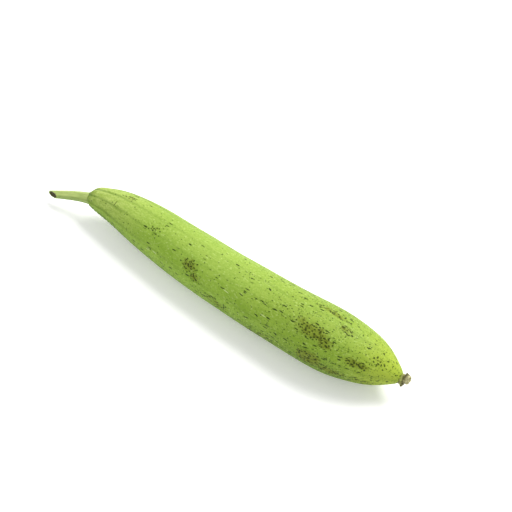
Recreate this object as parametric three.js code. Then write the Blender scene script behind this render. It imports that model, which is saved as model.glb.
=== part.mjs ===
// A smooth sponge gourd as picked, lying on its side: the fruit, the cut stem that it hung from,
// and the withered flower base left at its blossom end.
// Millimetres, +Z up. The fruit lies along X, stem at -X and blossom end at +X. The origin is the
// centre of the whole gourd's box, on the surface that it rests on.

import * as THREE from "three";

// Driving dimensions.
const FRUIT_LENGTH = 334;
const STEM_LENGTH = 40.5;
const FLOWER_BASE_LENGTH = 8.4;
const JOINT_GAP = 0.3; // between the fruit and each piece that grows on it

// The fruit from stem end to blossom end, as [share of the length, radius, how far the middle bows
// towards +Y, height of the underside]. Where that height is below nothing, the skin is pressed
// flat against the surface.
const FRUIT_STATIONS = [
  [0, 5.7, -1.6, 16.9],
  [0.033, 11, 0.8, 14],
  [0.068, 14.4, 2.9, 11.2],
  [0.118, 17.7, 4, 8],
  [0.172, 20.4, 3.8, 4.6],
  [0.247, 22.7, 2.8, 1.2],
  [0.366, 24.7, 0, -0.5],
  [0.514, 25.7, -2.4, -0.5],
  [0.663, 26.8, -3, -0.5],
  [0.762, 27.7, -2.5, -0.5],
  [0.822, 27.1, -1.2, -0.2],
  [0.881, 24, 0.7, 2.4],
  [0.931, 19, 1.9, 6.8],
  [0.97, 11.9, 2.8, 12.7],
  [1, 5, 3.3, 18.6],
];
const FRUIT_SIDES = 40;
const FRUIT_RINGS = 62;
const FRUIT_RIBS = 10; // the faint ridges over the fibre bundles
const RIB_DEPTH = 0.12;
const NECK_RIB_DEPTH = 0.5; // added where the skin puckers towards the stem
const NECK_RIB_REACH = 0.15; // share of the length over which that fades out

// The stem and the flower base, as outlines of [share of the length, radius].
const STEM_OUTLINE = [
  [0, 5.4],
  [0.08, 4.9],
  [0.2, 4.5],
  [0.5, 4],
  [0.9, 3.5],
  [1, 3.3],
];
const STEM_SIDES = 20;
const STEM_RINGS = 18;
const STEM_RIBS = 5;
const STEM_RIB_DEPTH = 0.3;
const STEM_CUT_SLANT = { side: 1.2, up: -0.3 }; // the knife left the +Y side longer, the top shorter
const FLOWER_BASE_OUTLINE = [
  [0, 4.4],
  [0.2, 4.9],
  [0.38, 4.1],
  [0.52, 3.6],
  [0.75, 4.2],
  [0.95, 3.6],
  [1, 2.7],
];
const FLOWER_BASE_BEND = new THREE.Vector3(0, 1.3, 1.4); // of its far end, withered up and to the +Y side
const FLOWER_SIDES = 20;
const FLOWER_RINGS = 16;
const SEPALS = 5;
const SEPAL_DEPTH = 0.5;

// How the stem curves away from the neck, as shares of its length: outwards, towards +Y, upwards.
const STEM_CURVE = [
  [0, 0, 0],
  [0.1, 0, 0],
  [0.5, 0, -0.02],
  [1, -0.04, -0.06],
];

const UP = new THREE.Vector3(0, 0, 1);
const fruitLine = new THREE.CatmullRomCurve3(
  FRUIT_STATIONS.map(
    ([share, radius, bow, height]) => new THREE.Vector3(share * FRUIT_LENGTH, bow, radius + height),
  ),
);

/** The directions along and across a middle line at a share of its length: level, and upwards. */
function axesAt(line, share) {
  const along = line.getTangentAt(share);
  const side = new THREE.Vector3().crossVectors(along, UP).normalize();
  return { along, side, up: new THREE.Vector3().crossVectors(side, along) };
}

/** A closed body turned from an outline, then laid along a middle line with ribs down its sides. */
function grownBody({ line, outline, rings, sides, ribs, ribDepth, endSlant = { side: 0, up: 0 } }) {
  const length = line.getLength();
  const edge = new THREE.SplineCurve(
    outline.map(([share, radius]) => new THREE.Vector2(radius, share * length)),
  );
  const profile = edge.getSpacedPoints(rings);
  profile[0].y = 0;
  profile[rings].y = length;
  profile.unshift(new THREE.Vector2(0, 0));
  profile.push(new THREE.Vector2(0, length));
  const body = new THREE.LatheGeometry(profile, sides);
  const place = body.getAttribute("position");
  const turned = new THREE.Vector3();
  for (let i = 0; i < place.count; i++) {
    turned.fromBufferAttribute(place, i);
    const share = THREE.MathUtils.clamp(turned.y / length, 0, 1);
    const radius = Math.hypot(turned.x, turned.z);
    const angle = Math.atan2(turned.x, turned.z);
    const ribbed = radius > 0 ? 1 + (ribDepth(share) * Math.cos(ribs * angle)) / radius : 1;
    const { along, side, up } = axesAt(line, share);
    const laid = line
      .getPointAt(share)
      .addScaledVector(side, turned.x * ribbed)
      .addScaledVector(up, turned.z * ribbed)
      .addScaledVector(along, share ** 8 * (endSlant.side * turned.x + endSlant.up * turned.z));
    place.setXYZ(i, laid.x, laid.y, laid.z);
  }
  return body;
}

/** Presses flat whatever would lie below the surface that the fruit rests on. */
function rested(body) {
  const place = body.getAttribute("position");
  for (let i = 0; i < place.count; i++) place.setZ(i, Math.max(place.getZ(i), 0));
  return body;
}

function piece(name, geometry, color, roughness) {
  const mesh = new THREE.Mesh(geometry, new THREE.MeshStandardMaterial({ color, roughness, metalness: 0 }));
  mesh.name = name;
  return mesh;
}

function makeFruit() {
  const body = grownBody({
    line: fruitLine,
    outline: FRUIT_STATIONS,
    rings: FRUIT_RINGS,
    sides: FRUIT_SIDES,
    ribs: FRUIT_RIBS,
    ribDepth: (share) => RIB_DEPTH + NECK_RIB_DEPTH * Math.max(0, 1 - share / NECK_RIB_REACH) ** 2,
  });
  return piece("fruit", rested(body), 0x9fc24f, 0.5);
}

function makeStem() {
  const { along, side, up } = axesAt(fruitLine, 0);
  const start = fruitLine.getPointAt(0).addScaledVector(along, -JOINT_GAP);
  const points = STEM_CURVE.map(([out, sideways, upwards]) =>
    start
      .clone()
      .addScaledVector(along, -out * STEM_LENGTH)
      .addScaledVector(side, -sideways * STEM_LENGTH)
      .addScaledVector(up, upwards * STEM_LENGTH),
  );
  const body = grownBody({
    line: new THREE.CatmullRomCurve3(points),
    outline: STEM_OUTLINE,
    rings: STEM_RINGS,
    sides: STEM_SIDES,
    ribs: STEM_RIBS,
    ribDepth: () => STEM_RIB_DEPTH,
    endSlant: STEM_CUT_SLANT,
  });
  return piece("stem", body, 0xb5cc74, 0.6);
}

function makeFlowerBase() {
  const { along } = axesAt(fruitLine, 1);
  const start = fruitLine.getPointAt(1).addScaledVector(along, JOINT_GAP);
  const end = start.clone().addScaledVector(along, FLOWER_BASE_LENGTH);
  const middle = start.clone().lerp(end, 0.5);
  const body = grownBody({
    line: new THREE.CatmullRomCurve3([start, middle, end.add(FLOWER_BASE_BEND)]),
    outline: FLOWER_BASE_OUTLINE,
    rings: FLOWER_RINGS,
    sides: FLOWER_SIDES,
    ribs: SEPALS,
    ribDepth: (share) => SEPAL_DEPTH * share,
  });
  return piece("flower_base", body, 0xb3a878, 0.85);
}

const gourd = new THREE.Group();
gourd.add(makeFruit(), makeStem(), makeFlowerBase());

const box = new THREE.Box3().setFromObject(gourd, true);
const middle = box.getCenter(new THREE.Vector3());
gourd.position.set(-middle.x, -middle.y, -box.min.z);

export default gourd;
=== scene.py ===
# A smooth sponge gourd lying on its side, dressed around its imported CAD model.
# Metres, in the frame of the CAD model: +X along the fruit from stem to blossom end, +Z up.

import math

import bpy
import numpy as np
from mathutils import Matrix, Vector, noise


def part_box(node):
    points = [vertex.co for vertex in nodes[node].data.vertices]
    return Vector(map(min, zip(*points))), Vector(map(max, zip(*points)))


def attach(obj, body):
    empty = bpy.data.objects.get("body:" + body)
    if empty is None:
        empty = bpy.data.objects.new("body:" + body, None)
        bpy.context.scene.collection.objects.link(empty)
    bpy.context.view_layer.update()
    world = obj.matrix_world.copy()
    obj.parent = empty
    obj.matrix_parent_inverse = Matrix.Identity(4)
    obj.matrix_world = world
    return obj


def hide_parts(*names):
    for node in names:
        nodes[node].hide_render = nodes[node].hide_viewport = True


MM = 0.001

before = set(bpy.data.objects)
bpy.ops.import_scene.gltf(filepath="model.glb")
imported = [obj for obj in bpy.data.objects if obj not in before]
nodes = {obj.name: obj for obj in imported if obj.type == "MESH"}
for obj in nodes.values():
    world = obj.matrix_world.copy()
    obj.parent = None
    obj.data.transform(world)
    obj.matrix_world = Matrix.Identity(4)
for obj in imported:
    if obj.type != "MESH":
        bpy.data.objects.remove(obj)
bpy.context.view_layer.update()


# Camera and light -----------------------------------------------------------------------------

CAMERA_AZIMUTH = math.radians(36.56)
CAMERA_ELEVATION = math.radians(52)
CAMERA_DISTANCE = 0.9426
CAMERA_LENS = 74.98  # mm, on a 36 mm sensor
CAMERA_REACH = 0.1667  # of the target, from the neck along the fruit
CAMERA_TARGET = Vector((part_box("fruit")[0][0] + CAMERA_REACH, 0.0361, 0.025))

# Soft boxes: (name, place, side, power) in metres and watts.
SOFTBOXES = (
    ("key_softbox", (0.35, 0.8, 1.3), 0.9, 29),
    ("fill_softbox", (-1.2, -0.6, 1.3), 1.4, 3),
)

FLOOR_HALF = 8.0
FLOOR_GLOW = 0.24  # keeps the shadows on it pale
WORLD_LIGHT = 0.55


def add_camera():
    """A long lens that looks down across the gourd from its stem side."""
    flat = math.cos(CAMERA_ELEVATION)
    back = Vector((
        math.sin(CAMERA_AZIMUTH) * flat,
        -math.cos(CAMERA_AZIMUTH) * flat,
        math.sin(CAMERA_ELEVATION),
    ))
    bpy.ops.object.camera_add(location=CAMERA_TARGET + back * CAMERA_DISTANCE)
    camera = bpy.context.object
    camera.rotation_euler = back.to_track_quat("Z", "Y").to_euler()
    camera.data.lens = CAMERA_LENS
    camera.data.sensor_width = 36
    camera.data.clip_start = 0.01
    bpy.context.scene.camera = camera


def add_area_light(name, place, size, power):
    """A square soft box at a place, aimed at the middle of the gourd."""
    bpy.ops.object.light_add(type="AREA", location=place)
    lamp = bpy.context.object
    lamp.name = name
    lamp.rotation_euler = Vector(place).to_track_quat("Z", "Y").to_euler()
    lamp.data.size = size
    lamp.data.energy = power


def add_lights():
    for softbox in SOFTBOXES:
        add_area_light(*softbox)
    world = bpy.data.worlds.new("studio")
    world.use_nodes = True
    background = world.node_tree.nodes["Background"]
    background.inputs["Color"].default_value = (1, 1, 1, 1)
    background.inputs["Strength"].default_value = WORLD_LIGHT
    bpy.context.scene.world = world
    bpy.context.scene.view_settings.view_transform = "Standard"


# Shader language ------------------------------------------------------------------------------

class Value:
    """A number socket that takes part in arithmetic, each operation adding one Math node."""

    def __init__(self, shader, socket):
        self.shader = shader
        self.socket = socket

    def math(self, operation, *others):
        inputs = dict(enumerate((self, *others)))
        node = self.shader.node("ShaderNodeMath", {"operation": operation}, inputs)
        return Value(self.shader, node.outputs[0])

    def __add__(self, other):
        return self.math("ADD", other)

    def __sub__(self, other):
        return self.math("SUBTRACT", other)

    def __mul__(self, other):
        return self.math("MULTIPLY", other)

    def __truediv__(self, other):
        return self.math("DIVIDE", other)

    __radd__ = __add__

    def above(self, low, high):
        """0 below low, 1 above high and smooth between; low may be the greater, to turn it round."""
        settings = {"interpolation_type": "SMOOTHSTEP"}
        inputs = {"Value": self, "From Min": low, "From Max": high}
        node = self.shader.node("ShaderNodeMapRange", settings, inputs)
        return Value(self.shader, node.outputs["Result"])


class Shader:
    """One material's nodes."""

    def __init__(self, name):
        self.material = bpy.data.materials.new(name)
        self.material.use_nodes = True
        self.tree = self.material.node_tree
        self.surface = self.tree.nodes["Principled BSDF"]

    def node(self, kind, settings=None, inputs=None):
        node = self.tree.nodes.new(kind)
        for name, value in (settings or {}).items():
            setattr(node, name, value)
        for name, value in (inputs or {}).items():
            self.feed(node.inputs[name], value)
        return node

    def feed(self, socket, value):
        if isinstance(value, Value):
            value = value.socket
        if isinstance(value, bpy.types.NodeSocket):
            self.tree.links.new(value, socket)
        elif isinstance(value, tuple) and socket.type == "RGBA":
            socket.default_value = (*value, 1)
        else:
            socket.default_value = value

    def attribute(self, name, output="Fac"):
        socket = self.node("ShaderNodeAttribute", {"attribute_name": name}).outputs[output]
        return Value(self, socket) if output == "Fac" else socket

    def place(self):
        return self.node("ShaderNodeTexCoord").outputs["Object"]

    def stretched(self, vector, scale, offset=(0, 0, 0)):
        inputs = {"Vector": vector, "Scale": scale, "Location": offset}
        return self.node("ShaderNodeMapping", None, inputs).outputs["Vector"]

    def noise(self, vector, scale=1.0, detail=2.0, roughness=0.5):
        inputs = {"Vector": vector, "Scale": scale, "Detail": detail, "Roughness": roughness}
        return Value(self, self.node("ShaderNodeTexNoise", None, inputs).outputs["Fac"])

    def cells(self, vector):
        """Distance to the nearest of scattered points, and a random number for that point."""
        node = self.node("ShaderNodeTexVoronoi", None, {"Vector": vector, "Scale": 1.0})
        split = self.node("ShaderNodeSeparateColor", None, {"Color": node.outputs["Color"]})
        return Value(self, node.outputs["Distance"]), Value(self, split.outputs[0])

    def axes(self, vector):
        node = self.node("ShaderNodeSeparateXYZ", None, {"Vector": vector})
        return [Value(self, socket) for socket in node.outputs]

    def mix(self, share, first, second):
        """The second colour laid over the first by share."""
        node = self.node("ShaderNodeMix", {"data_type": "RGBA"})
        for socket, value in zip((node.inputs[0], node.inputs[6], node.inputs[7]), (share, first, second)):
            self.feed(socket, value)
        return node.outputs[2]

    def bump(self, height, depth):
        """Raises the surface by depth, in metres, where height is 1."""
        inputs = {"Height": height, "Distance": depth}
        return self.node("ShaderNodeBump", None, inputs).outputs["Normal"]

    def scratch(self, straight, at, turn, out, half_length, tilt):
        """A thin mark on the skin, in millimetres and degrees as in SCRATCHES."""
        angle = math.radians(turn)
        slope = math.radians(tilt)
        outward = Vector((0, -math.sin(angle), math.cos(angle)))
        around = Vector((0, -math.cos(angle), -math.sin(angle)))
        along = Vector((1, 0, 0)) * math.cos(slope) + around * math.sin(slope)
        centre = Vector((at * MM, 0, 0)) + outward * out * MM
        offset = self.vector_math("SUBTRACT", straight, tuple(centre), "Vector")
        ahead = Value(self, self.vector_math("DOT_PRODUCT", offset, tuple(along), "Value"))
        aside = Value(self, self.vector_math("DOT_PRODUCT", offset, tuple(along.cross(outward)), "Value"))
        above = Value(self, self.vector_math("DOT_PRODUCT", offset, tuple(outward), "Value"))
        ahead = ahead / (half_length * MM)
        aside = aside / (SCRATCH_WIDTH / 2)
        near = above.above(-SCRATCH_REACH, 0.0)
        return (ahead * ahead + aside * aside).above(1.0, 0.4) * near

    def vector_math(self, operation, first, second, output):
        node = self.node("ShaderNodeVectorMath", {"operation": operation}, {0: first, 1: second})
        return node.outputs[output]

    def finish(self, **inputs):
        for name, value in inputs.items():
            self.feed(self.surface.inputs[name.replace("_", " ")], value)
        return self.material


def tint(red, green, blue):
    """A colour given as it looks on a screen, 0 to 255, as the linear light that shaders use."""
    shares = (channel / 255 for channel in (red, green, blue))
    return tuple(s / 12.92 if s <= 0.04045 else ((s + 0.055) / 1.055) ** 2.4 for s in shares)


# Modelling helpers ----------------------------------------------------------------------------

def choose(piece):
    """Makes a piece the only selected and the active one."""
    bpy.ops.object.select_all(action="DESELECT")
    piece.select_set(True)
    bpy.context.view_layer.objects.active = piece


def copied_from_cad(name):
    """A welded, quad-faced copy of a CAD node's mesh, as a piece of its own."""
    piece = bpy.data.objects.new(name + "_grown", nodes[name].data.copy())
    bpy.context.scene.collection.objects.link(piece)
    piece.data.materials.clear()
    choose(piece)
    bpy.ops.object.mode_set(mode="EDIT")
    bpy.ops.mesh.select_all(action="SELECT")
    bpy.ops.mesh.remove_doubles(threshold=0.01 * MM)
    bpy.ops.mesh.tris_convert_to_quads(face_threshold=math.radians(40), shape_threshold=math.radians(60))
    bpy.ops.mesh.normals_make_consistent(inside=False)
    bpy.ops.object.mode_set(mode="OBJECT")
    return piece


def smoothed(piece, levels):
    """Subdivides a piece into a finer, rounder mesh."""
    modifier = piece.modifiers.new("finer", "SUBSURF")
    modifier.levels = levels
    modifier.render_levels = levels
    choose(piece)
    bpy.ops.object.modifier_apply(modifier=modifier.name)
    bpy.ops.object.shade_smooth()


def vertices_of(piece):
    flat = np.empty(len(piece.data.vertices) * 3)
    piece.data.vertices.foreach_get("co", flat)
    return flat.reshape(-1, 3)


def move_vertices(piece, places):
    piece.data.vertices.foreach_set("co", places.ravel())
    piece.data.update()


def keep_attribute(piece, name, values, kind="FLOAT"):
    attribute = piece.data.attributes.new(name, kind, "POINT")
    attribute.data.foreach_set("vector" if kind == "FLOAT_VECTOR" else "value", values.ravel())


LINE_STATIONS = 80


def middle_line(places, spread):
    """The middle of a body that lies along X, as (x, y, z) stations averaged over its vertices."""
    stations = np.linspace(places[:, 0].min(), places[:, 0].max(), LINE_STATIONS)
    weights = np.exp(-(((stations[:, None] - places[None, :, 0]) / spread) ** 2))
    weights /= weights.sum(axis=1, keepdims=True)
    return np.column_stack([stations, weights @ places[:, 1:]])


def straightened(line, trim):
    """A middle line whose two ends, where averages are lopsided, run on straight from inside them."""
    inner = line[trim:-trim]
    places = np.linspace(line[0, 0], line[-1, 0], len(line))
    columns = [places]
    for column in (1, 2):
        curve = np.polyfit(inner[:, 0] - inner[0, 0], inner[:, column], 2)
        columns.append(np.polyval(curve, places - inner[0, 0]))
    return np.column_stack(columns)


def scattered_noise(points, scale, seed):
    """Smooth noise, about -1 to 1, at points in metres; scale is the size of its lumps."""
    shift = Vector((seed * 7.3, seed * 3.1, seed * 5.7))
    return np.array([noise.noise(Vector(point) / scale + shift) for point in points])


# The fruit ------------------------------------------------------------------------------------

VEINS = 10
VEIN_START = math.radians(68)  # angle of one vein, from the top towards -Y
VEIN_SPACING = math.tau / VEINS
VEIN_WANDER = 0.1  # radians
VEIN_WIDTH = 1.3 * MM
VEIN_DEPTH = 0.22 * MM
NECK_LENGTH = 0.13  # over which the furrows of the neck fade out
RIPPLE_SIDE = math.radians(120)  # angle of the puckered side of the neck, from the top towards -Y
RIPPLE_LENGTH = 4.4 * MM
RIPPLE_DEPTH = 0.22 * MM
LUMP_DEPTH = 0.45 * MM
FULLNESS = 0.45 * MM  # by which the whole skin swells beyond the CAD solid
SHOULDER_PLACE = 6 * MM  # from the neck's end
SHOULDER_SPREAD = 8 * MM
SHOULDER_START = 5 * MM  # over which it rises from nothing
SHOULDER_RISE = 1.5 * MM
SCAB_DEPTH = 0.12 * MM
CALM_HEIGHT = 2 * MM  # above the floor, below which the relief dies away
CALM_ENDS = 12 * MM  # from either end, within which it does too

# Scabbed patches: (distance from the neck, angle from the top towards -Y, half length, half width,
# strength), in millimetres and degrees.
SCABS = (
    (262, 33, 17, 7, 0.95),
    (250, 26, 8, 4, 0.8),
    (276, 42, 8, 5, 0.9),
    (267, -16, 17, 3.5, 0.8),
    (284, 2, 9, 4, 0.7),
    (266, 80, 12, 7, 1.5),
    (286, 90, 14, 5, 0.85),
    (303, 50, 12, 4, 0.9),
    (318, 20, 9, 4, 0.45),
    (312, 95, 9, 4, 0.6),
    (222, 96, 14, 4, 0.55),
    (135, 47, 10, 7, 0.8),
    (144, 62, 7, 5, 0.75),
    (86, 24, 8, 7, 0.38),
    (46, -14, 8, 3, 0.65),
    (168, 88, 20, 6, 0.55),
    (205, 112, 20, 6, 0.6),
    (60, 150, 14, 7, 0.6),
    (120, 200, 22, 8, 0.8),
    (235, 185, 26, 9, 0.8),
    (180, 255, 16, 6, 0.8),
    (275, 270, 20, 7, 0.9),
    (225, 305, 12, 5, 0.7),
    (90, 290, 10, 5, 0.5),
)


# Scratches: (distance from the neck, angle as above, distance from the middle line, half length,
# tilt away from lengthwise, colour), in millimetres and degrees.
SCRATCH_WIDTH = 1.1 * MM
SCRATCH_REACH = 6 * MM  # how far below its own place a scratch can still show
DARK_SCRATCH = (56, 66, 8)
PALE_SCRATCH = (196, 214, 138)
SCRATCHES = (
    (37, 22, 18.2, 3.4, 95, DARK_SCRATCH),
    (96, 70, 23.4, 3.2, 6, PALE_SCRATCH),
    (88, 75, 22.8, 2.6, -8, PALE_SCRATCH),
    (177, 50, 26.1, 3.6, 4, PALE_SCRATCH),
    (217, 52, 27.0, 3.4, 5, PALE_SCRATCH),
    (150, 250, 25.6, 4.0, 12, PALE_SCRATCH),
    (210, 300, 26.7, 3.5, 55, DARK_SCRATCH),
)


def along_and_around(places, line):
    """Distance from the neck, angle from the top towards -Y, and distance from the middle line."""
    middle_y = np.interp(places[:, 0], line[:, 0], line[:, 1])
    middle_z = np.interp(places[:, 0], line[:, 0], line[:, 2])
    out_y = places[:, 1] - middle_y
    out_z = places[:, 2] - middle_z
    return places[:, 0] - line[0, 0], np.arctan2(-out_y, out_z), out_y, out_z


def scab_cover(length, angle, radius):
    """How scabbed the skin is, 0 to 1, from the list of patches."""
    cover = np.zeros(len(length))
    for at, turn, half_length, half_width, strength in SCABS:
        around = np.angle(np.exp(1j * (angle - math.radians(turn)))) * radius
        apart = np.hypot((length - at * MM) / (half_length * MM), around / (half_width * MM))
        cover = np.maximum(cover, strength * np.clip(1.35 - apart, 0, 1))
    return cover


def add_fruit():
    fruit = copied_from_cad("fruit")
    line = middle_line(vertices_of(fruit), 5 * MM)
    smoothed(fruit, 2)
    places = vertices_of(fruit)
    length, angle, out_y, out_z = along_and_around(places, line)
    radius = np.hypot(out_y, out_z)
    straight = np.column_stack([length, out_y, out_z])

    wander = VEIN_WANDER * scattered_noise(straight * (1, 0.6, 0.6), 60 * MM, 1)
    turns = (angle - VEIN_START + wander) / VEIN_SPACING
    from_vein = np.abs(turns - np.round(turns)) * VEIN_SPACING * radius
    neck = np.clip(1 - length / NECK_LENGTH, 0, 1)
    vein = np.exp(-((from_vein / VEIN_WIDTH) ** 2))
    patchy = 0.6 + 0.4 * scattered_noise(straight * (0.5, 1, 1), 16 * MM, 2)

    lumps = scattered_noise(straight * (0.6, 1, 1), 24 * MM, 3)
    lower_side = np.clip(np.cos(angle - RIPPLE_SIDE), 0, 1)
    ripples = np.sin(length / RIPPLE_LENGTH * math.tau + 2 * scattered_noise(straight, 20 * MM, 4))
    resting = np.clip(places[:, 2] / CALM_HEIGHT, 0, 1)
    ends = np.clip(np.minimum(length, length.max() - length) / CALM_ENDS, 0, 1)
    scabs = scab_cover(length, angle, radius)

    rise = LUMP_DEPTH * lumps - VEIN_DEPTH * vein * patchy * (0.5 + 1.3 * neck)
    rise += RIPPLE_DEPTH * ripples * lower_side * neck
    shoulder = np.exp(-(((length - SHOULDER_PLACE) / SHOULDER_SPREAD) ** 2)) * np.clip(np.cos(angle), 0, 1)
    rise += FULLNESS
    rise += SCAB_DEPTH * scabs * scattered_noise(straight, 2.2 * MM, 5)
    rise *= resting * ends
    rise += SHOULDER_RISE * shoulder * np.clip(length / SHOULDER_START, 0, 1)
    outward = np.column_stack([np.zeros(len(radius)), out_y, out_z]) / np.maximum(radius, MM)[:, None]
    move_vertices(fruit, places + outward * rise[:, None])

    keep_attribute(fruit, "straight", straight, "FLOAT_VECTOR")
    keep_attribute(fruit, "vein", vein * patchy)
    keep_attribute(fruit, "scab", scabs)
    fruit.data.materials.append(green_skin())
    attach(fruit, "root")
    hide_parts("fruit")


def green_skin():
    """Bright green skin, darker along the veins, with dark dashes and olive scabs; paler on top as a
    painted highlight and darker below as painted shade.
    """
    skin = Shader("green_skin")
    straight = skin.attribute("straight", "Vector")
    length, across, height = skin.axes(straight)
    vein = skin.attribute("vein")
    scab = skin.attribute("scab")

    # Where each part of the skin lies, in metres along the fruit, across it and above its middle.
    tip = length.above(0.16, 0.27)
    neck = length.above(0.10, 0.0)
    last = length.above(0.285, 0.335)
    joint = length.above(0.013, 0.001)
    # low: the lower side, where the colour is darkened as painted shade.
    low = (height + across * 0.35).above(0.001, -0.024)
    # flank: the lower side; at the tip its colour is darkened as painted shade, and the dark dashes and
    # grit also crowd there.
    flank = (height + across * 0.5).above(0.002, -0.016)
    # high: the top, where the colour is paled as a painted highlight.
    high = (height + across * 0.25).above(0.008, 0.027)
    # shoulder: the top of the neck, where the colour is paled as a painted highlight.
    shoulder = neck * (height + across * 0.25).above(-0.004, 0.012)
    # Painted shade along the underside of the neck.
    painted_shade_under_neck = neck * (height + across * 0.35).above(0.003, -0.010)

    # Ground colour, clouded and streaked lengthwise, with painted light in it: paler on top as a painted
    # highlight, deeper below and under the neck as painted shade.
    clouds = skin.noise(skin.stretched(straight, (30, 70, 70)), detail=3).above(0.35, 0.68)
    streaks = skin.noise(skin.stretched(straight, (45, 520, 520)), detail=3).above(0.38, 0.7)
    fine = skin.stretched(straight, (500, 800, 800))
    mottle = skin.noise(fine, detail=3, roughness=0.65).above(0.34, 0.68)
    ground_and_shading = skin.mix(clouds, tint(136, 172, 52), tint(152, 186, 66))
    # Painted highlight: the top paled.
    ground_and_shading = skin.mix(high * 0.65, ground_and_shading, tint(160, 180, 88))
    # Painted highlight on the top of the neck.
    ground_and_shading = skin.mix(shoulder * 0.85, ground_and_shading, tint(198, 212, 122))
    # Painted shade: the lower side darkened.
    ground_and_shading = skin.mix(low * 0.6, ground_and_shading, tint(112, 142, 62))
    # Painted shade: the underside of the neck darkened.
    ground_and_shading = skin.mix(painted_shade_under_neck * 0.75, ground_and_shading, tint(90, 118, 42))
    ground_and_shading = skin.mix(tip * 0.4, ground_and_shading, tint(132, 154, 44))
    # Painted highlight, toned on the top near the tip.
    ground_and_shading = skin.mix(tip * high * 0.4, ground_and_shading, tint(138, 160, 62))
    # Painted shade: the lower side near the tip darkened.
    ground_and_shading = skin.mix(tip * flank * 0.6, ground_and_shading, tint(84, 108, 30))
    ground_and_shading = skin.mix(streaks * 0.35, ground_and_shading, tint(158, 188, 84))
    ground_and_shading = skin.mix(mottle * 0.45, ground_and_shading, tint(108, 144, 38))
    freckles = skin.noise(skin.stretched(straight, (380, 640, 640)), detail=2).above(0.58, 0.68)
    ground_and_shading = skin.mix(freckles * 0.55, ground_and_shading, tint(176, 200, 108))
    ground_and_shading = skin.mix(neck * streaks * 0.4, ground_and_shading, tint(122, 150, 34))
    ground_and_shading = skin.mix(joint * 0.6, ground_and_shading, tint(104, 134, 18))
    ground_and_shading = skin.mix(last * 0.7, ground_and_shading, tint(168, 184, 62))
    ground_and_shading = skin.mix(vein * (0.3 + neck * 0.7), ground_and_shading, tint(72, 104, 16))

    # Dark green dashes, lengthwise, thicker towards the blossom end and on the lower side.
    bent = skin.noise(straight, 160).math("MULTIPLY_ADD", 0.002, -0.001)
    shifted = skin.vector_math("ADD", straight, bent, "Vector")
    crowd = 0.18 + tip * 0.4 + flank * 0.5 + vein * 0.3 + scab * 0.3 - neck * 0.12
    dash_far, dash_pick = skin.cells(skin.stretched(shifted, (105, 430, 430)))
    dash = dash_far.above(0.28, 0.2) * (crowd - dash_pick).above(0.0, 0.05)
    speck_far, speck_pick = skin.cells(skin.stretched(shifted, (380, 520, 520), (0.4, 0.2, 0.7)))
    speck = speck_far.above(0.32, 0.2) * (crowd * 0.7 - speck_pick).above(0.0, 0.05)
    grit_far, grit_pick = skin.cells(skin.stretched(shifted, (700, 900, 900), (0.1, 0.5, 0.3)))
    grit = grit_far.above(0.42, 0.26) * (flank * 0.6 + tip * 0.35 + 0.1 - grit_pick).above(0.0, 0.08)
    marked = skin.mix(dash * 0.9, ground_and_shading, tint(30, 48, 2))
    marked = skin.mix(speck * 0.8, marked, tint(46, 68, 6))
    marked = skin.mix(grit * 0.6, marked, tint(62, 86, 20))

    # Short pale lines where a vein shows through.
    fibre = skin.noise(skin.stretched(straight, (90, 1400, 1400)), detail=1).above(0.66, 0.74)
    marked = skin.mix(fibre * vein * 0.7, marked, tint(190, 210, 128))

    # Scabs: an olive haze crowded with dark dots, crusted over in its thickest places.
    crust = skin.noise(skin.stretched(straight, (260, 420, 420)), detail=4, roughness=0.7)
    haze = (scab + crust * 1.2 - 0.8).above(0.05, 0.7)
    dot_far, dot_pick = skin.cells(skin.stretched(shifted, (430, 600, 600), (0.3, 0.6, 0.1)))
    dots = dot_far.above(0.52, 0.34) * (scab * 1.3 + crust * 0.8 - 0.5 - dot_pick).above(0.0, 0.1)
    crusted = (crust - 0.53).above(0.0, 0.09) * scab.above(0.25, 0.7)
    marked = skin.mix(haze * 0.6, marked, tint(114, 122, 30))
    marked = skin.mix(crusted * 0.7, marked, tint(76, 82, 14))
    marked = skin.mix(dots * 0.85, marked, tint(38, 52, 4))

    for at, turn, out, half_length, tilt, colour in SCRATCHES:
        mark = skin.scratch(straight, at, turn, out, half_length, tilt)
        marked = skin.mix(mark * 0.85, marked, tint(*colour))

    grain = skin.noise(straight, 1600, detail=2)
    relief = grain * 0.25 - dash * 0.8 - speck * 0.4 + crusted * 0.5 + dots * 0.4
    rough = 0.54 + crusted * 0.2 - dash * 0.08 + mottle * 0.05
    return skin.finish(Base_Color=marked, Roughness=rough, Specular_IOR_Level=0.12,
                       Normal=skin.bump(relief, 0.15 * MM))


# The stem -------------------------------------------------------------------------------------

STEM_SIDES = 20
STEM_RIDGES = 5
STEM_RIDGE_DEPTH = 0.3 * MM
STEM_ROOT_DEPTH = 1.6 * MM  # by which the stalk starts before the CAD stem does, inside the neck
STEM_TRIM = 14  # stations at each end of the CAD stem whose averages are lopsided
STEM_AIM = 20  # station that the root points to
STEM_LAST = 73  # station where the stalk is cut
STEM_RADII = (5.2, 5.9, 5.3, 4.95, 4.75, 4.5, 4.3, 4.1, 3.95, 3.85)  # mm, from the neck outwards
CUT_LENGTH = 11 * MM  # of the stretch that the slanting cut skews
CUT_BACK = 1.9  # slope of the cut, which leaves the +Y side the longer
CUT_UP = -0.5  # and the top the shorter
CUT_RIM = 0.35 * MM
CUT_SINK = 0.8 * MM


def extrude_to(start, end, scale):
    """Extrudes the selected face from one place to the next and scales it there."""
    bpy.ops.mesh.extrude_region_move(TRANSFORM_OT_translate={"value": end - start})
    bpy.ops.transform.resize(value=(scale, scale, scale), center_override=end)


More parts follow.
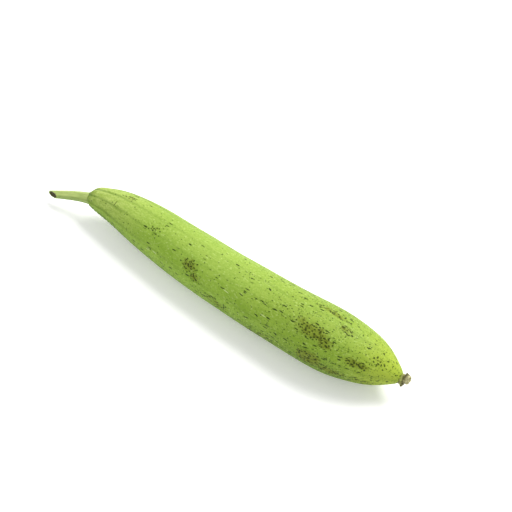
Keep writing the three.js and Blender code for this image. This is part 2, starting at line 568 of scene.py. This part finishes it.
def loft(name, centres, radii, sides):
    """A closed body whose round sections sit at the centres; leaves its last face selected in edit mode."""
    facing = (centres[1] - centres[0]).to_track_quat("Z", "Y").to_euler()
    bpy.ops.object.select_all(action="DESELECT")
    bpy.ops.mesh.primitive_circle_add(
        vertices=sides, radius=radii[0], fill_type="NGON", location=centres[0], rotation=facing)
    piece = bpy.context.object
    piece.name = name
    bpy.ops.object.transform_apply(location=True, rotation=True, scale=True)
    bpy.ops.object.mode_set(mode="EDIT")
    bpy.ops.mesh.select_all(action="SELECT")
    for i in range(1, len(centres)):
        extrude_to(centres[i - 1], centres[i], radii[i] / radii[i - 1])
    return piece


def closed_and_outward():
    """Ends edit mode on the active piece with its doubles welded and its faces pointing out."""
    bpy.ops.mesh.select_all(action="SELECT")
    bpy.ops.mesh.remove_doubles(threshold=0.001 * MM)
    bpy.ops.mesh.normals_make_consistent(inside=False)
    bpy.ops.object.mode_set(mode="OBJECT")


def add_stem():
    line = straightened(middle_line(vertices_of(nodes["stem"]), 2 * MM), STEM_TRIM)
    outwards = line[::-1]
    along = Vector(outwards[STEM_AIM] - outwards[0]).normalized()
    stations = np.linspace(0, STEM_LAST, len(STEM_RADII) - 1).astype(int)
    centres = [Vector(place) for place in outwards[stations]]
    centres.insert(0, centres[0] - along * STEM_ROOT_DEPTH)
    stem = loft("stem_stalk", centres, [radius * MM for radius in STEM_RADII], STEM_SIDES)

    # A thin rim of skin round the dried, sunken face of the cut.
    bpy.ops.mesh.inset(thickness=0.12 * MM, depth=0)
    bpy.ops.mesh.inset(thickness=CUT_RIM, depth=0)
    bpy.ops.mesh.inset(thickness=0.25 * MM, depth=-CUT_SINK * 0.6)
    bpy.ops.mesh.inset(thickness=1.3 * MM, depth=-CUT_SINK * 0.4)
    bpy.ops.mesh.inset(thickness=0.7 * MM, depth=-CUT_SINK * 0.5)
    closed_and_outward()
    smoothed(stem, 3)

    places = vertices_of(stem)
    length, angle, out_y, out_z = along_and_around(places, line)
    radius = np.hypot(out_y, out_z)
    outward = np.column_stack([np.zeros(len(radius)), out_y, out_z]) / np.maximum(radius, MM)[:, None]
    outside = np.clip((radius - 2.8 * MM) / (0.8 * MM), 0, 1)
    straight = np.column_stack([length, out_y, out_z])
    before_end = (np.array(centres[-1]) - places) @ np.array((centres[-1] - centres[-2]).normalized())
    rise = STEM_RIDGE_DEPTH * np.cos(STEM_RIDGES * angle) * outside
    rise += 0.2 * MM * scattered_noise(straight * (0.35, 1, 1), 3.5 * MM, 6) * outside
    skew = (CUT_BACK * out_y + CUT_UP * out_z) * np.clip(1 - before_end / CUT_LENGTH, 0, 1) ** 2
    places += outward * rise[:, None] + np.array(centres[-1] - centres[-2]) * (
        skew / (centres[-1] - centres[-2]).length)[:, None]
    move_vertices(stem, places)
    keep_attribute(stem, "straight", straight, "FLOAT_VECTOR")
    keep_attribute(stem, "dried", np.clip((3.4 * MM - radius) / (0.3 * MM), 0, 1)
                   * np.clip((3 * MM - before_end) / MM, 0, 1))
    stem.data.materials.append(green_stalk())
    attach(stem, "root")
    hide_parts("stem")


def green_stalk():
    """Pale green stalk, streaked lengthwise, with a painted highlight band along its top and painted shade
    on its lower side, dried to dark brown on its cut end.
    """
    stalk = Shader("green_stalk")
    straight = stalk.attribute("straight", "Vector")
    dried = stalk.attribute("dried")
    streaks = stalk.noise(stalk.stretched(straight, (120, 900, 900)), detail=3).above(0.35, 0.66)
    clouds = stalk.noise(straight, 140, detail=2).above(0.35, 0.65)
    green = stalk.mix(streaks, tint(130, 156, 66), tint(168, 188, 100))
    green = stalk.mix(clouds * 0.4, green, tint(184, 198, 120))
    _, across, height = stalk.axes(straight)
    # Painted light: a pale highlight band along the top of the stalk, and painted shade on its lower side.
    painted_highlight_band = (height * 0.79 - across * 0.62).above(0.0018, 0.0038)
    shaded = (height * 0.62 + across * 0.79).above(-0.0004, -0.0034)
    green = stalk.mix(painted_highlight_band * 0.35, green, tint(206, 222, 138))
    green = stalk.mix(shaded * 0.6, green, tint(108, 138, 42))
    pith = stalk.noise(stalk.place(), 1500, detail=3, roughness=0.7)
    brown = stalk.mix(pith.above(0.4, 0.65), tint(34, 32, 10), tint(86, 78, 34))
    colour = stalk.mix(dried, green, brown)
    relief = streaks * 0.5 + pith * dried * 1.5
    return stalk.finish(Base_Color=colour, Roughness=0.55 + dried * 0.35,
                        Specular_IOR_Level=0.35, Normal=stalk.bump(relief, 0.12 * MM))


# The flower base ------------------------------------------------------------------------------

FLOWER_SIDES = 20
# (distance beyond the fruit's tip, radius) in mm: collar, groove, disc.
FLOWER_PROFILE = (
    (-1.5, 4.0), (-0.5, 4.4), (0.4, 4.9), (1.6, 5.0), (2.5, 4.5), (3.1, 3.5), (3.8, 3.0), (4.4, 3.3),
    (5.1, 3.8), (6.0, 3.9), (6.9, 3.6), (7.6, 2.9), (8.0, 2.0),
)
FLOWER_LIFT = Vector((0, 0.9, 1.0)) * MM  # how far the disc has withered up and back
SCAR_DEPTH = 1.1 * MM
FLOWER_AIM = 30  # station of the CAD flower base that its collar points to
SEPAL_FOOT = 3.0 * MM  # from the middle line
SEPAL_THICKNESS = 1.6 * MM
# Withered sepals: (angle from the top towards -Y in degrees, distance beyond the tip, length, width) in mm.
SEPALS = (
    (-16, 4.2, 6.6, 5.0),
    (56, 4.4, 2.6, 3.0),
    (128, 4.0, 7.4, 5.2),
    (198, 3.6, 3.4, 3.4),
    (268, 3.2, 4.2, 3.4),
)


def add_flower_base():
    line = middle_line(vertices_of(nodes["flower_base"]), 2 * MM)
    along = Vector(line[FLOWER_AIM] - line[0]).normalized()
    start = Vector(line[0])
    lifts = [FLOWER_LIFT * (max(out, 0) / FLOWER_PROFILE[-1][0]) ** 2 for out, _ in FLOWER_PROFILE]
    centres = [start + along * out * MM + lift for (out, _), lift in zip(FLOWER_PROFILE, lifts)]
    flower = loft("flower_remnant", centres, [radius * MM for _, radius in FLOWER_PROFILE], FLOWER_SIDES)
    bpy.ops.mesh.inset(thickness=0.6 * MM, depth=-SCAR_DEPTH)
    bpy.ops.mesh.inset(thickness=0.6 * MM, depth=-SCAR_DEPTH * 0.3)
    closed_and_outward()
    smoothed(flower, 2)

    places = vertices_of(flower)
    length, angle, out_y, out_z = along_and_around(places, line)
    radius = np.hypot(out_y, out_z)
    outward = np.column_stack([np.zeros(len(radius)), out_y, out_z]) / np.maximum(radius, MM)[:, None]
    beyond = (places - np.array(start)) @ np.array(along)
    disc = np.clip((beyond - 3.5 * MM) / (1.5 * MM), 0, 1)
    straight = np.column_stack([length, out_y, out_z])
    rise = (0.25 + 0.35 * disc) * MM * np.cos(5 * angle + 0.6) * np.clip(radius / (4 * MM), 0, 1)
    rise += (0.2 + 0.4 * disc) * MM * scattered_noise(straight, 2.6 * MM, 7)
    rise *= np.clip(beyond / MM, 0, 1)
    push = 0.4 * MM * disc * scattered_noise(straight, 1.8 * MM, 8)
    move_vertices(flower, places + outward * rise[:, None] + np.array(along) * push[:, None])

    keep_attribute(flower, "withered", np.zeros(len(places)))
    sepals = [add_sepal(start, along, *row, seed) for seed, row in enumerate(SEPALS)]
    choose(flower)
    for sepal in sepals:
        sepal.select_set(True)
    bpy.ops.object.join()
    places = vertices_of(flower)
    beyond = (places - np.array(start)) @ np.array(along)
    keep_attribute(flower, "beyond", beyond / (FLOWER_PROFILE[-1][0] * MM))
    flower.data.materials.append(dried_flower())
    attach(flower, "root")
    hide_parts("flower_base")


def add_sepal(start, along, turn, out, length, width, seed):
    """One shrivelled, curled sepal: a tapering strip with a cupped, crumpled face."""
    bpy.ops.object.select_all(action="DESELECT")
    bpy.ops.mesh.primitive_grid_add(x_subdivisions=5, y_subdivisions=4, size=1, location=(0, 0, 0))
    sepal = bpy.context.object
    sepal.name = f"sepal_{seed}"
    flat = vertices_of(sepal)
    share = flat[:, 0] + 0.5
    aside = flat[:, 1] * (1 - 0.75 * share ** 1.5) * width
    curl = share * math.radians(70 + 35 * math.sin(seed * 2.1))
    reach = np.sin(curl) / math.radians(80) * length
    lean = (1 - np.cos(curl)) / math.radians(80) * length
    crumple = 0.35 * scattered_noise(flat, 0.35, seed + 10)
    angle = math.radians(turn)
    up = Vector((0, -math.sin(angle), math.cos(angle)))
    side = along.cross(up)
    base = np.array(start + along * out * MM + up * SEPAL_FOOT)
    places = base + MM * (
        np.outer(reach + crumple, up) + np.outer(aside, side) + np.outer(lean - 0.6 * reach, along))
    move_vertices(sepal, places)
    thick = sepal.modifiers.new("thick", "SOLIDIFY")
    thick.thickness = SEPAL_THICKNESS
    thick.offset = 0
    choose(sepal)
    bpy.ops.object.modifier_apply(modifier=thick.name)
    bpy.ops.object.mode_set(mode="EDIT")
    closed_and_outward()
    smoothed(sepal, 2)
    keep_attribute(sepal, "withered", np.ones(len(sepal.data.vertices)))
    return sepal


def dried_flower():
    """Papery dried flower: greenish collar, beige disc, grey-brown ragged edges and groove."""
    dry = Shader("dried_flower")
    beyond = dry.attribute("beyond")
    blotch = dry.noise(dry.place(), 420, detail=3, roughness=0.6).above(0.38, 0.62)
    fibre = dry.noise(dry.place(), 1500, detail=3, roughness=0.7)
    disc = beyond.above(0.42, 0.55)
    groove = beyond.above(0.3, 0.4) * beyond.above(0.56, 0.46)
    colour = dry.mix(disc, tint(158, 166, 92), tint(188, 184, 138))
    colour = dry.mix(blotch * 0.6, colour, tint(112, 108, 70))
    colour = dry.mix(groove * 0.7, colour, tint(84, 74, 40))
    colour = dry.mix(dry.attribute("withered") * 0.85, colour, tint(112, 108, 74))
    colour = dry.mix(fibre.above(0.55, 0.7) * 0.7, colour, tint(86, 80, 56))
    return dry.finish(Base_Color=colour, Roughness=0.85, Specular_IOR_Level=0.2,
                      Normal=dry.bump(fibre + blotch * 0.4, 0.3 * MM))


# The floor ------------------------------------------------------------------------------------

def add_floor():
    bpy.ops.object.select_all(action="DESELECT")
    bpy.ops.mesh.primitive_plane_add(size=2 * FLOOR_HALF, location=(0, 0, 0))
    floor = bpy.context.object
    floor.name = "floor"
    paper = Shader("floor_paper")
    floor.data.materials.append(paper.finish(
        Base_Color=tint(250, 250, 250), Roughness=0.9,
        Emission_Color=(1, 1, 1), Emission_Strength=FLOOR_GLOW))


add_camera()
add_lights()
add_floor()
add_fruit()
add_stem()
add_flower_base()
